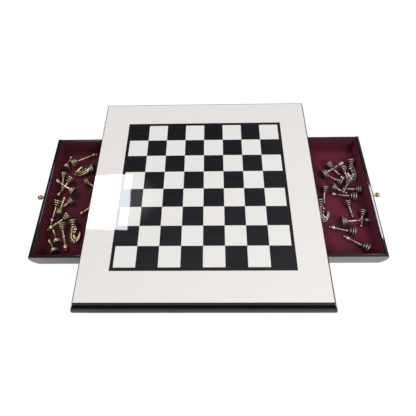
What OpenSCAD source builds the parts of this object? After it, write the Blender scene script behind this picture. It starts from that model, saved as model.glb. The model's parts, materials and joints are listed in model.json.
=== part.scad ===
// Chess box: an inlaid playing top on a moulded casing, with a lined drawer
// on the left and one on the right, each holding one side's sixteen men.
// Millimetres. Origin at the middle of the underside, +X to the right drawer,
// +Y away from the player, +Z up. Both drawers are drawn partly pulled out.

/* [Playing top] */
// Side of one square of the field
square_side = 36; // [34:0.5:38]
// Width of the black line round the field
field_line_w = 5.6; // [4:0.2:8]
// Width of the cream border
cream_w = 48.8; // [44:0.4:54]
// Width of the black lipping round the border
lipping_w = 1.6; // [1.2:0.1:3]
// Thickness of the inlaid squares, line and border
inlay_t = 2.5; // [1.5:0.1:4]
// Hairline joint between two squares
tile_joint = 0.1; // [0.05:0.05:0.3]
// Thickness of the top board, from the drawer bay to the playing surface
top_t = 12; // [11:0.5:16]
// Height of the top board's own edge, above the moulding
lip_h = 4; // [3.5:0.5:6]
// Radius of the rounded upper edge of the lipping
lip_arris = 1.1; // [0.5:0.1:1.3]

/* [Casing] */
// Thickness of the casing boards, in from the edge of the top
wall_t = 14; // [12:0.5:18]
// How far the convex moulding stands out past the edge of the top
bulge = 9; // [6:0.5:11]
// Radius of the convex moulding
bulge_r = 35; // [34:0.5:50]
// Drop from the playing surface to the widest line of the moulding
bulge_drop = 29; // [28:0.5:30]
// Thickness of the bottom panel
base_t = 4; // [3:0.5:6]
// Thickness of the two guides that the drawers run between
guide_t = 9; // [8:0.5:14]
// Thickness of the divider between the two drawer bays
divider_t = 10; // [6:0.5:14]
// Thickness of the felt under the box
felt_t = 1; // [0.6:0.1:2]
// How far the felt stays inside the foot of the casing
felt_inset = 5; // [3:0.5:10]
// Corner radius of the felt
felt_corner_r = 6; // [2:0.5:12]

/* [Base screws] */
// Radius of the countersunk screws' shanks
base_screw_r = 1.6; // [1.3:0.1:2]
// Radius of their heads
base_screw_head_r = 3.4; // [2.8:0.1:4]
// Height of the countersunk heads
base_screw_head_h = 2; // [1.6:0.1:2.6]
// Length of the screws
base_screw_len = 16; // [12:1:25]
// Distance between the screws along a guide
base_screw_pitch = 100; // [80:5:115]

/* [Drawers] */
// Width of a drawer, from its near side to its far side
drawer_w = 246.6; // [245:0.2:260]
// Height of a drawer
drawer_h = 34.6; // [33:0.2:36]
// Thickness of a drawer's front at its rim
front_t = 5.6; // [5:0.1:9]
// Radius of the rounded outer edge of a drawer's front
front_arris = 3; // [1.5:0.1:3.5]
// Radius of the other rounded edges along a drawer's rim
rim_arris = 1.2; // [0.4:0.1:1.4]
// Thickness of a drawer's sides
side_t = 5; // [4:0.5:8]
// Thickness of a drawer's back
back_t = 5; // [4:0.5:8]
// Thickness of a drawer's bottom
tray_t = 3; // [2.4:0.2:4]
// Height of the groove for the bottom above a drawer's lower edge
tray_up = 1; // [0.8:0.1:2]
// Depth of the groove for the bottom
groove_d = 2; // [1:0.5:3]
// Thickness of the velvet lining
lining_t = 1.2; // [0.8:0.1:2]
// Bare rim left above the lining
bare_rim = 2; // [1:0.5:4]
// Gap between a drawer and a guide, on each side
side_gap = 0.5; // [0.3:0.1:1]
// Gap above a drawer
top_gap = 1; // [0.6:0.1:2]
// Running gap under a drawer
slide_gap = 0.3; // [0.2:0.1:0.6]
// Gap behind a closed drawer
back_gap = 1; // [0.5:0.5:3]
// How far the left drawer is pulled out
left_pull = 88; // [0:1:150]
// How far the right drawer is pulled out
right_pull = 99; // [0:1:150]

/* [Knobs] */
// Diameter of the ball of a knob
knob_d = 9.6; // [8:0.2:14]
// Distance from the knob's seat to the middle of its ball
knob_reach = 12; // [8.5:0.1:14]
// Radius of the knob's neck
neck_r = 2.6; // [2.4:0.1:3.2]
// Radius of the knob's rose
rose_r = 4.2; // [3.6:0.1:6]
// Thickness of the knob's rose
rose_t = 1.3; // [1:0.1:2]
// Flat rim left round the face of the rose
rose_rim = 0.5; // [0.3:0.1:1]
// Depth of the flat that the rose seats on
seat_d = 0.5; // [0.4:0.1:0.8]
// Radius of the knob screw
knob_screw_r = 1.6; // [1.2:0.1:1.8]
// Gap round the knob screw in the drawer's front
knob_screw_gap = 0.15; // [0.1:0.05:0.3]
// Radius of the knob screw's head
knob_screw_head_r = 3; // [2.6:0.1:4]
// Height of the knob screw's head
knob_screw_head_h = 1.8; // [1.4:0.1:2.4]
// How far the knob screw reaches into the knob
knob_screw_grip = 6; // [4:0.5:8]

/* [Men] */
// Height of a king
king_h = 53; // [51:0.5:54]
// Height of a queen
queen_h = 51; // [49:0.5:52]
// Height of a bishop
bishop_h = 46; // [45:0.5:47]
// Height of a knight
knight_h = 44; // [43:0.5:45]
// Height of a rook
rook_h = 43; // [42:0.5:44]
// Height of a pawn
pawn_h = 33; // [32:0.5:34]
// Radius of the king's and the queen's base
royal_r = 9.9; // [9.4:0.1:10]
// Radius of the other large men's base
piece_r = 9.2; // [8.8:0.1:9.3]
// Radius of a pawn's base
pawn_r = 8; // [7.6:0.1:8.1]
// Radius of the men's stems
stem_r = 1.8; // [1.6:0.1:1.9]
// Radius of a pawn's head
pawn_head_r = 3.1; // [2.9:0.1:3.2]
// Radius of a bishop's mitre
bishop_head_r = 3.6; // [3.4:0.1:3.7]
// Radius of a rook's tower
rook_head_r = 3.6; // [3.4:0.1:3.7]
// Radius of the king's crown and the queen's head
royal_head_r = 4; // [3.8:0.1:4.1]
// Thickness of a knight's horse
horse_t = 7.2; // [6.6:0.1:7.4]
// Thickness of the pads under the men
pad_t = 0.8; // [0.5:0.1:0.9]
// How far a pad stays inside the edge of its base
pad_inset = 1.4; // [1:0.1:2]
// Gap between a lying man and the lining
lie_gap = 0.25; // [0.2:0.05:0.4]

/* [Hidden] */
$fn = 64;
// Small overshoot of a cutting tool
over = 1;

field_side = 8 * square_side;
line_side = field_side + 2 * field_line_w;
cream_side = line_side + 2 * cream_w;
top_side = cream_side + 2 * lipping_w;
half = top_side / 2;

// Levels, from the bottom up
base_z = felt_t;
bay_floor_z = base_z + base_t;
drawer_z = bay_floor_z + slide_gap;
rim_z = drawer_z + drawer_h;
bay_ceiling_z = rim_z + top_gap;
box_h = bay_ceiling_z + top_t;
lip_z = box_h - lip_h;
inlay_z = box_h - inlay_t;
tray_z = drawer_z + tray_up;
floor_z = tray_z + tray_t;
lined_z = floor_z + lining_t;

// The convex moulding is an arc about this centre
arc_x = half + bulge - bulge_r;
arc_z = box_h - bulge_drop;
inner_x = half - wall_t;
far = half + bulge + over;

// Drawer bay and drawer, in the closed place of the right drawer
bay_w = drawer_w + 2 * side_gap;
back_x = divider_t / 2 + back_gap;
hold_x = back_x + back_t;
rim_x = arc_x + sqrt(pow(bulge_r, 2) - pow(rim_z - arc_z, 2));
front_x = rim_x - front_t;
hold_w = drawer_w - 2 * side_t;

// A drawer front's outer edge is rounded about this centre
edge_z = rim_z - front_arris;
edge_x = arc_x + sqrt(pow(bulge_r - front_arris, 2) - pow(edge_z - arc_z, 2));

seat_x = half + bulge - seat_d;
knob_z = arc_z;

// Foot of the moulding, where the felt starts from
foot_x = arc_x + sqrt(pow(bulge_r, 2) - pow(base_z - arc_z, 2));

// The rings of a man's base: their radii, the step from one to the next, the
// height of a ring and the core behind them, all as parts of the base's radius
ring_radii = [1, 0.88, 0.75, 0.60];
ring_step = 0.29;
ring_height = 0.21;
core_foot = 0.85;
core_top = 0.47;
cove_part = 0.28;
// How much a stem thickens towards the base
stem_swell = 1.3;
// The men's places are given in thousandths of a drawer's inner width
place_unit = hold_w / 1000;
// Turn of the kings and the rooks about their own axes
king_roll = 90;
rook_roll = 30;

// Colours
black_lacquer = [0.05, 0.05, 0.06];
cream = [0.90, 0.88, 0.86];
ebony = [0.12, 0.11, 0.13];
board_brown = [0.55, 0.42, 0.28];
velvet = [0.36, 0.10, 0.17];
felt_black = [0.10, 0.10, 0.10];
brass = [0.80, 0.66, 0.35];
steel = [0.70, 0.70, 0.72];
old_brass = [0.72, 0.60, 0.32];
dark_pewter = [0.28, 0.25, 0.24];

// ---------------------------------------------------------------- playing top

// Flat ring between two squares
module square_ring(outer, inner, z0, z1) {
  translate([0, 0, z0]) linear_extrude(z1 - z0) difference() {
    square(outer, center = true);
    square(inner, center = true);
  }
}

// Core board: a full plate on a block that drops between the casing boards
module top_core() {
  color(black_lacquer) {
    translate([-inner_x, -inner_x, bay_ceiling_z]) cube([2 * inner_x, 2 * inner_x, lip_z - bay_ceiling_z]);
    translate([-half, -half, lip_z]) cube([top_side, top_side, inlay_z - lip_z]);
  }
}

// Lipping: four mitred strips with a rounded upper edge
module lipping_section() {
  translate([half - lipping_w, inlay_z]) difference() {
    square([lipping_w, inlay_t]);
    translate([lipping_w - lip_arris, inlay_t - lip_arris]) difference() {
      square(lip_arris + over);
      circle(lip_arris);
    }
  }
}

module top_lipping() {
  color(black_lacquer) for (a = [0, 90, 180, 270]) rotate([0, 0, a]) intersection() {
    rotate([90, 0, 0]) linear_extrude(2 * far, center = true) lipping_section();
    wedge();
  }
}

module cream_border() {
  color(cream) square_ring(cream_side, line_side, inlay_z, box_h);
}

module field_line() {
  color(ebony) square_ring(line_side, field_side, inlay_z, box_h);
}

// The squares of one colour; the near left square is a light one
module squares(odd) {
  tile = square_side - tile_joint;
  for (i = [0:7], j = [0:7]) {
    if ((i + j) % 2 == odd) {
      corner = [(i - 4) * square_side + tile_joint / 2, (j - 4) * square_side + tile_joint / 2, inlay_z];
      translate(corner) cube([tile, tile, inlay_t]);
    }
  }
}

module light_squares() { color(cream) squares(0); }
module dark_squares() { color(ebony) squares(1); }

// --------------------------------------------------------------------- casing

// The part of the plan that faces +X, up to the mitres
module wedge() {
  linear_extrude(box_h + over) polygon([[0, 0], [far, -far], [far, far]]);
}

// Section of the moulding between two heights: x is outwards, y is up
module moulding(from_x, z0, z1) {
  intersection() {
    translate([from_x, z0]) square([far - from_x, z1 - z0]);
    translate([arc_x, arc_z]) circle(bulge_r, $fn = 128);
  }
}

// Moulded board on the +X side, as long as w
module moulded_board(from_x, z0, z1, w) {
  rotate([90, 0, 0]) linear_extrude(w, center = true) moulding(from_x, z0, z1);
}

module mitred_board(z0, z1) {
  intersection() {
    moulded_board(inner_x, z0, z1, 2 * far);
    wedge();
  }
}

// Board beside the drawer opening on the +X side, at +Y
module stile() {
  color(black_lacquer) difference() {
    mitred_board(base_z, bay_ceiling_z);
    translate([0, bay_w / 2 - 2 * far, 0]) cube([far, 2 * far, box_h]);
  }
}

module front_wall() { color(black_lacquer) rotate([0, 0, -90]) mitred_board(base_z, lip_z); }
module back_wall() { color(black_lacquer) rotate([0, 0, 90]) mitred_board(base_z, lip_z); }
module right_rail() { color(black_lacquer) mitred_board(bay_ceiling_z, lip_z); }
module left_rail() { color(black_lacquer) rotate([0, 0, 180]) mitred_board(bay_ceiling_z, lip_z); }
module right_back_stile() { stile(); }
module right_front_stile() { mirror([0, 1, 0]) stile(); }
module left_back_stile() { mirror([1, 0, 0]) stile(); }
module left_front_stile() { rotate([0, 0, 180]) stile(); }

// One countersunk screw, head down at the underside of the bottom panel
module base_screw() {
  translate([0, 0, base_z]) {
    cylinder(h = base_screw_head_h, r1 = base_screw_head_r, r2 = base_screw_r);
    cylinder(h = base_screw_len, r = base_screw_r);
  }
}

// Four screws into each guide and two into the divider
module base_screws() {
  guide_y = bay_w / 2 + guide_t / 2;
  color(steel) {
    for (k = [-1.5:1:1.5], s = [-1, 1]) translate([k * base_screw_pitch, s * guide_y, 0]) base_screw();
    for (s = [-1, 1]) translate([0, s * bay_w / 4, 0]) base_screw();
  }
}

// Bottom panel, which runs out under the drawers as a sill
module base_panel() {
  color(black_lacquer) difference() {
    union() {
      translate([-inner_x, -inner_x, base_z]) cube([2 * inner_x, 2 * inner_x, base_t]);
      for (a = [0, 180]) rotate([0, 0, a]) moulded_board(inner_x - over, base_z, bay_floor_z, bay_w);
    }
    base_screws();
  }
}

module guide(s) {
  color(board_brown) difference() {
    translate([-inner_x, s > 0 ? bay_w / 2 : -bay_w / 2 - guide_t, bay_floor_z])
      cube([2 * inner_x, guide_t, bay_ceiling_z - bay_floor_z]);
    base_screws();
  }
}

module front_guide() { guide(-1); }
module back_guide() { guide(1); }

module centre_divider() {
  color(board_brown) difference() {
    translate([-divider_t / 2, -bay_w / 2, bay_floor_z]) cube([divider_t, bay_w, bay_ceiling_z - bay_floor_z]);
    base_screws();
  }
}

module base_felt() {
  side = foot_x - felt_inset;
  straight = side - felt_corner_r;
  color(felt_black) linear_extrude(felt_t) {
    square([2 * side, 2 * straight], center = true);
    square([2 * straight, 2 * side], center = true);
    for (sx = [-1, 1], sy = [-1, 1]) translate([sx * straight, sy * straight]) circle(felt_corner_r);
  }
}

// -------------------------------------------------------------------- drawers
// Each piece is drawn in the closed place of the right drawer.

// Bottom, let into grooves all round
module tray_slab() {
  y = hold_w / 2 + groove_d;
  translate([hold_x - groove_d, -y, tray_z]) cube([front_x - hold_x + 2 * groove_d, 2 * y, tray_t]);
}

module knob_screw() {
  color(steel) translate([0, 0, knob_z]) rotate([0, 90, 0]) {
    translate([0, 0, front_x]) cylinder(h = knob_screw_head_h, r = knob_screw_head_r);
    translate([0, 0, front_x]) cylinder(h = seat_x + knob_screw_grip - front_x, r = knob_screw_r);
  }
}

// What is cut off to round an edge of radius r at the corner of a section
module arris(r) {
  difference() {
    translate([-r, -r]) square(r + over);
    translate([-r, -r]) circle(r);
  }
}

// Section of a drawer's front, from its inner face to the moulding
module front_section() {
  fall = atan2(edge_z - arc_z, edge_x - arc_x);
  reach = 4 * front_arris;
  difference() {
    moulding(front_x, drawer_z, rim_z);
    difference() {
      translate([edge_x, edge_z]) polygon([[0, 0], [0, reach], [reach, reach], [reach * cos(fall), reach * sin(fall)]]);
      translate([edge_x, edge_z]) circle(front_arris);
    }
  }
}

// Board with both upper edges rounded, t thick towards +x, along y
module rim_board(t, w) {
  rotate([90, 0, 0]) linear_extrude(w, center = true) difference() {
    translate([0, drawer_z]) square([t, drawer_h]);
    translate([t, rim_z]) arris(rim_arris);
    translate([0, rim_z]) mirror([1, 0]) arris(rim_arris);
  }
}

module drawer_front() {
  bore_r = knob_screw_r + knob_screw_gap;
  color(black_lacquer) difference() {
    rotate([90, 0, 0]) linear_extrude(drawer_w, center = true) front_section();
    rotate([90, 0, 0]) linear_extrude(hold_w, center = true) translate([front_x, rim_z]) mirror([1, 0]) arris(rim_arris);
    tray_slab();
    translate([0, 0, knob_z]) rotate([0, 90, 0]) {
      translate([0, 0, front_x - over]) cylinder(h = knob_screw_head_h + over, r = knob_screw_head_r);
      translate([0, 0, front_x]) cylinder(h = far - front_x, r = bore_r);
      translate([0, 0, seat_x]) cylinder(h = far - seat_x, r = rose_r);
    }
  }
}

module drawer_side() {
  color(black_lacquer) difference() {
    translate([(back_x + front_x) / 2, hold_w / 2, 0]) rotate([0, 0, 90]) rim_board(side_t, front_x - back_x);
    tray_slab();
  }
}

module drawer_back() {
  color(black_lacquer) difference() {
    translate([back_x, 0, 0]) rim_board(back_t, hold_w);
    tray_slab();
  }
}

module drawer_bottom() { color(board_brown) tray_slab(); }

module floor_lining() {
  color(velvet) translate([hold_x, -hold_w / 2, floor_z]) cube([front_x - hold_x, hold_w, lining_t]);
}

module wall_lining() {
  long = front_x - hold_x;
  color(velvet) translate([hold_x, 0, lined_z]) linear_extrude(rim_z - bare_rim - lined_z) difference() {
    translate([0, -hold_w / 2]) square([long, hold_w]);
    translate([lining_t, -hold_w / 2 + lining_t]) square([long - 2 * lining_t, hold_w - 2 * lining_t]);
  }
}

// Knob: rose, neck and ball, bored for its screw
module knob() {
  color(brass) translate([seat_x, 0, knob_z]) rotate([0, 90, 0]) difference() {
    union() {
      cylinder(h = rose_t, r = rose_r);
      translate([0, 0, rose_t]) cylinder(h = rose_r - neck_r, r1 = rose_r - rose_rim, r2 = neck_r);
      cylinder(h = knob_reach, r = neck_r);
      translate([0, 0, knob_reach]) sphere(knob_d / 2);
    }
    translate([0, 0, -over]) cylinder(h = knob_screw_grip + over, r = knob_screw_r);
  }
}

module at_left() { translate([-left_pull, 0, 0]) mirror([1, 0, 0]) children(); }
module at_right() { translate([right_pull, 0, 0]) children(); }

module left_drawer_front() { at_left() drawer_front(); }
module left_drawer_near_side() { at_left() mirror([0, 1, 0]) drawer_side(); }
module left_drawer_far_side() { at_left() drawer_side(); }
module left_drawer_back() { at_left() drawer_back(); }
module left_drawer_bottom() { at_left() drawer_bottom(); }
module left_floor_lining() { at_left() floor_lining(); }
module left_wall_lining() { at_left() wall_lining(); }
module left_knob() { at_left() knob(); }
module left_knob_screw() { at_left() knob_screw(); }
module right_drawer_front() { at_right() drawer_front(); }
module right_drawer_near_side() { at_right() mirror([0, 1, 0]) drawer_side(); }
module right_drawer_far_side() { at_right() drawer_side(); }
module right_drawer_back() { at_right() drawer_back(); }
module right_drawer_bottom() { at_right() drawer_bottom(); }
module right_floor_lining() { at_right() floor_lining(); }
module right_wall_lining() { at_right() wall_lining(); }
module right_knob() { at_right() knob(); }
module right_knob_screw() { at_right() knob_screw(); }

// ------------------------------------------------------------------------ men
// A man stands on z = 0 with its pad below. Its base is four rings like a
// beehive, and a cove leads from them to the stem.

// Rounded ring of a turned section
module bead(r, z, t) {
  translate([0, z]) square([r - t / 2, t]);
  translate([r - t / 2, z + t / 2]) circle(t / 2);
}

// Height of the base without its cove
function rings_h(r) = 4 * ring_step * r;

// Section of the base and the stem up to height top
module base_section(r, top) {
  step = ring_step * r;
  cove = cove_part * r;
  cove_z = rings_h(r);
  for (k = [0:3]) bead(ring_radii[k] * r, k * step, ring_height * r);
  polygon([[0, 0], [core_foot * r, 0], [core_top * r, cove_z], [0, cove_z]]);
  translate([0, cove_z]) difference() {
    square([stem_r + cove, cove]);
    translate([stem_r + cove, cove]) circle(cove);
  }
  polygon([[0, 0], [stem_swell * stem_r, 0], [stem_swell * stem_r, cove_z], [stem_r, top], [0, top]]);
}

module turned(h, r) {
  rotate_extrude() intersection() {
    square([r + over, h]);
    children();
  }
}

// Thin collar round the stem
module collar(r, z, t) {
  polygon([[0, z - t], [stem_r, z - t], [r, z - t / 3], [r, z + t / 3], [stem_r, z + t], [0, z + t]]);
}

module pawn() {
  turned(pawn_h, pawn_r) {
    base_section(pawn_r, pawn_h - pawn_head_r);
    collar(1.5 * stem_r, pawn_h - 2.6 * pawn_head_r, 0.3 * pawn_head_r);
    translate([0, pawn_h - pawn_head_r]) circle(pawn_head_r);
  }
}

// Mitre: a lens on end, with a small ball on its tip
module bishop() {
  mitre_h = 2.8 * bishop_head_r;
  lens_r = 2 * bishop_head_r;
  tip_r = bishop_head_r / 3;
  mid = bishop_h - 1.5 * tip_r - mitre_h / 2;
  turned(bishop_h, piece_r) {
    base_section(piece_r, mid);
    collar(1.6 * stem_r, 0.58 * bishop_h, 0.3 * bishop_head_r);
    collar(1.6 * stem_r, 0.67 * bishop_h, 0.3 * bishop_head_r);
    intersection() {
      translate([bishop_head_r - lens_r, mid]) circle(lens_r);
      translate([0, mid - mitre_h / 2]) square([lens_r, mitre_h]);
    }
    translate([0, bishop_h - tip_r]) circle(tip_r);
  }
}

// Tower: flared foot, straight wall, sunk platform and six notches
module rook() {
  r = rook_head_r;
  foot_z = rook_h - 2.2 * r;
  platform_z = rook_h - 0.5 * r;
  notch_w = 0.35 * r;
  difference() {
    turned(rook_h, piece_r) {
      base_section(piece_r, foot_z + r);
      collar(1.6 * stem_r, 0.62 * rook_h, 0.3 * r);
      polygon([[0, foot_z], [stem_r, foot_z], [0.85 * r, foot_z + 0.8 * r], [r, foot_z + 1.1 * r],
        [r, rook_h], [0.62 * r, rook_h], [0.62 * r, platform_z], [0, platform_z]]);
    }
    for (a = [0, 60, 120]) rotate([0, 0, a])
      translate([-piece_r, -notch_w / 2, platform_z]) cube([2 * piece_r, notch_w, r]);
  }
}

// Flared cup under the queen's and the king's heads, up to height top
module flare(top, r) {
  polygon([[0, top - 1.7 * r], [stem_r, top - 1.7 * r], [r, top - 0.4 * r], [r, top - 0.2 * r],
    [0.8 * r, top], [0, top]]);
}

// Two collars of the queen and the king
module royal_collars(h) {
  collar(1.8 * stem_r, 0.56 * h, 0.3 * royal_head_r);
  collar(1.6 * stem_r, 0.64 * h, 0.25 * royal_head_r);
}

module queen() {
  tip_r = 0.3 * royal_head_r;
  ball_z = queen_h - 1.5 * tip_r - royal_head_r;
  turned(queen_h, royal_r) {
    base_section(royal_r, ball_z);
    royal_collars(queen_h);
    flare(ball_z - 0.6 * royal_head_r, 0.8 * royal_head_r);
    translate([0, ball_z]) circle(royal_head_r);
    translate([0, queen_h - tip_r]) circle(tip_r);
  }
}

module king() {
  cross_h = 1.1 * royal_head_r;
  cross_t = 0.36 * royal_head_r;
  arm_z = king_h - 2.2 * cross_t;
  crown_z = king_h - cross_h;
  turned(king_h, royal_r) {
    base_section(royal_r, crown_z - cross_t);
    royal_collars(king_h);
    flare(crown_z, 0.85 * royal_head_r);
  }
  translate([-cross_t / 2, -cross_t / 2, crown_z - cross_t]) cube([cross_t, cross_t, cross_h + cross_t]);
  translate([-1.5 * cross_t, -cross_t / 2, arm_z]) cube([3 * cross_t, cross_t, cross_t]);
}

// Side view of the horse, nose towards +x, as one smooth closed curve, and its
// front view, both for a horse that is horse_tall high and horse_wide thick
horse_tall = 44.4;
horse_wide = 7.2;
horse_points = [[-2.2, 12], [-3.4, 15], [-6, 18.6], [-7.2, 24], [-7.2, 30], [-5.8, 36], [-3, 40.6], [0.2, 44.4],
  [2.4, 42], [6, 40.4], [9.4, 36.6], [12, 31], [13, 25.8], [11.2, 23.8], [9.2, 26.4], [7.4, 30.2],
  [4.6, 32.4], [2.4, 30], [2.4, 25.4], [4.6, 20.6], [4.4, 17], [2.4, 14.6], [2, 12]];
horse_half_front = [[2.2, 10], [2.6, 14], [3.6, 18], [3.6, 28], [2.6, 38], [1, 46]];

// Point at t between the second and the third of four points on a smooth curve
function smooth(a, b, c, d, t) =
  (2 * b + (c - a) * t + (2 * a - 5 * b + 4 * c - d) * t * t + (3 * b - a - 3 * c + d) * t * t * t) / 2;

function closed_curve(p, steps) = let (n = len(p)) [
  for (i = [0:n - 1], k = [0:steps - 1])
    smooth(p[(i + n - 1) % n], p[i], p[(i + 1) % n], p[(i + 2) % n], k / steps)
];

module knight() {
  tall = knight_h / horse_tall;
  wide = horse_t / horse_wide;
  front = [for (p = horse_half_front) [p[0] * wide, p[1] * tall]];
  back = [for (i = [len(front) - 1:-1:0]) [-front[i][0], front[i][1]]];
  side = [for (p = closed_curve(horse_points, 3)) p * tall];
  collar_z = rings_h(piece_r) + cove_part * piece_r / 2;
  turned(collar_z, piece_r) base_section(piece_r, collar_z);
  intersection() {
    rotate([90, 0, 0]) linear_extrude(2 * horse_t, center = true) polygon(side);
    rotate([90, 0, 90]) linear_extrude(2 * knight_h, center = true) polygon(concat(front, back));
  }
}

module pad(r) {
  translate([0, 0, -pad_t]) cylinder(h = pad_t, r = r - pad_inset);
}

// Angle by which a lying man's axis drops so that base and head both rest
function drop(r, head_r, reach) = acos(head_r / norm([r, reach])) - atan2(reach, r);

// Lays a man down: [in, y, heading, prop], where in and y are in place units, in is
// counted from the front's lining, and prop lifts the head off the floor by so many degrees
module lay(place, r, angle, roll) {
  tilt = angle - place[3];
  translate([place_unit * place[0], place_unit * place[1], lined_z + r * cos(tilt) + lie_gap])
    rotate([0, 0, place[2]]) rotate([0, 90 + tilt, 0]) rotate([0, 0, roll]) children();
}

pawn_drop = drop(pawn_r, pawn_head_r, pawn_h - pawn_head_r);
bishop_drop = drop(piece_r, bishop_head_r, bishop_h - 2 * bishop_head_r);
rook_drop = drop(piece_r, rook_head_r, rook_h);
queen_drop = drop(royal_r, royal_head_r, queen_h - royal_head_r);
king_drop = drop(royal_r, 0.85 * royal_head_r, king_h - 1.4 * royal_head_r);
knight_drop = drop(piece_r, horse_t / 3, 0.86 * knight_h);

// Where the left drawer's men lie
left_king_at = [[87.1, 333.9, 32.1, 0]];
left_queen_at = [[117.5, -228.2, -72.5, 0]];
left_bishops_at = [[41.4, -24.9, -97.1, 0], [158.5, -151.7, -141.9, 4.8]];
left_knights_at = [[285.3, 288.3, -163.8, 0], [197, -195.3, -80, 0]];
left_rooks_at = [[111.6, 192.3, -121.4, 0], [160.6, 54.5, 148, 14.8]];
left_pawns_at = [[39.7, 289.1, 83.6, 0], [36.3, 240.9, -90, 0], [343.2, -49, -144.1, 0],
  [235.4, 164, -35.4, 0], [155.5, -9.7, -141.2, 0], [72.3, -131.9, 78.7, 17.6], [112, -380, 119.2, 0],
  [112.8, -451.8, 128.2, 0]];

// Where the right drawer's men lie
right_king_at = [[222.7, -221.5, 3.5, 9.1]];
right_queen_at = [[298.4, 196.1, 29.2, 14.1]];
right_bishops_at = [[127.2, -305.2, 163.7, 0], [57.5, -433.6, 145.4, 0]];
right_knights_at = [[42.3, 337.7, -85.5, 0], [358.4, -33.8, -81.9, 0]];
right_rooks_at = [[235, 309.4, -50.9, 0], [63.8, -7.2, 166.9, 0]];
right_pawns_at = [[114.5, 273.5, -75.3, 0], [147.9, 125.1, 140.4, 0], [235, 95.1, -25.9, 0],
  [94.3, 138.6, -121.5, 16.9], [11.4, 63, 171.4, 0], [292.1, 83.7, -99.9, 0], [139.1, -41.8, -77.6, 0],
  [34.2, -124.3, -103.9, 0]];

module in_left() { translate([-front_x - left_pull + lining_t, 0, 0]) children(); }
module in_right() { translate([front_x + right_pull - lining_t, 0, 0]) children(); }
function flip(rows) = [for (p = rows) [-p[0], p[1], p[2], p[3]]];

module kings(rows) { for (p = rows) lay(p, royal_r, king_drop, king_roll) king(); }
module queens(rows) { for (p = rows) lay(p, royal_r, queen_drop, 0) queen(); }
module bishops(rows) { for (p = rows) lay(p, piece_r, bishop_drop, 0) bishop(); }
module rooks(rows) { for (p = rows) lay(p, piece_r, rook_drop, rook_roll) rook(); }
module pawns(rows) { for (p = rows) lay(p, pawn_r, pawn_drop, 0) pawn(); }
// The first knight's nose turns to the right of its heading, the second's to the left
module knights(rows, noses) {
  for (k = [0, 1]) lay(rows[k], piece_r, knight_drop, noses[k] * 90) knight();
}

module pads(king_at, queen_at, bishops_at, knights_at, rooks_at, pawns_at) {
  for (p = king_at) lay(p, royal_r, king_drop, 0) pad(royal_r);
  for (p = queen_at) lay(p, royal_r, queen_drop, 0) pad(royal_r);
  for (p = bishops_at) lay(p, piece_r, bishop_drop, 0) pad(piece_r);
  for (p = knights_at) lay(p, piece_r, knight_drop, 0) pad(piece_r);
  for (p = rooks_at) lay(p, piece_r, rook_drop, 0) pad(piece_r);
  for (p = pawns_at) lay(p, pawn_r, pawn_drop, 0) pad(pawn_r);
}

module left_king() { color(old_brass) in_left() kings(left_king_at); }
module left_queen() { color(old_brass) in_left() queens(left_queen_at); }
module left_bishops() { color(old_brass) in_left() bishops(left_bishops_at); }
module left_knights() { color(old_brass) in_left() knights(left_knights_at, [-1, 1]); }
module left_rooks() { color(old_brass) in_left() rooks(left_rooks_at); }
module left_pawns() { color(old_brass) in_left() pawns(left_pawns_at); }
module left_pads() {
  color(felt_black) in_left()
    pads(left_king_at, left_queen_at, left_bishops_at, left_knights_at, left_rooks_at, left_pawns_at);
}
module right_king() { color(dark_pewter) in_right() kings(flip(right_king_at)); }
module right_queen() { color(dark_pewter) in_right() queens(flip(right_queen_at)); }
module right_bishops() { color(dark_pewter) in_right() bishops(flip(right_bishops_at)); }
module right_knights() { color(dark_pewter) in_right() knights(flip(right_knights_at), [-1, 1]); }
module right_rooks() { color(dark_pewter) in_right() rooks(flip(right_rooks_at)); }
module right_pawns() { color(dark_pewter) in_right() pawns(flip(right_pawns_at)); }
module right_pads() {
  color(felt_black) in_right()
    pads(flip(right_king_at), flip(right_queen_at), flip(right_bishops_at), flip(right_knights_at),
      flip(right_rooks_at), flip(right_pawns_at));
}

top_core();
top_lipping();
cream_border();
field_line();
light_squares();
dark_squares();
front_wall();
back_wall();
left_rail();
right_rail();
left_front_stile();
left_back_stile();
right_front_stile();
right_back_stile();
base_panel();
front_guide();
back_guide();
centre_divider();
base_screws();
base_felt();
left_drawer_front();
left_drawer_near_side();
left_drawer_far_side();
left_drawer_back();
left_drawer_bottom();
left_floor_lining();
left_wall_lining();
left_knob();
left_knob_screw();
right_drawer_front();
right_drawer_near_side();
right_drawer_far_side();
right_drawer_back();
right_drawer_bottom();
right_floor_lining();
right_wall_lining();
right_knob();
right_knob_screw();
left_king();
left_queen();
left_bishops();
left_knights();
left_rooks();
left_pawns();
left_pads();
right_king();
right_queen();
right_bishops();
right_knights();
right_rooks();
right_pawns();
right_pads();
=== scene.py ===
"""Chess box with drawers: looks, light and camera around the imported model."""
import json
import math

import bpy
import numpy as np
from mathutils import Matrix, Vector, noise


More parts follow.
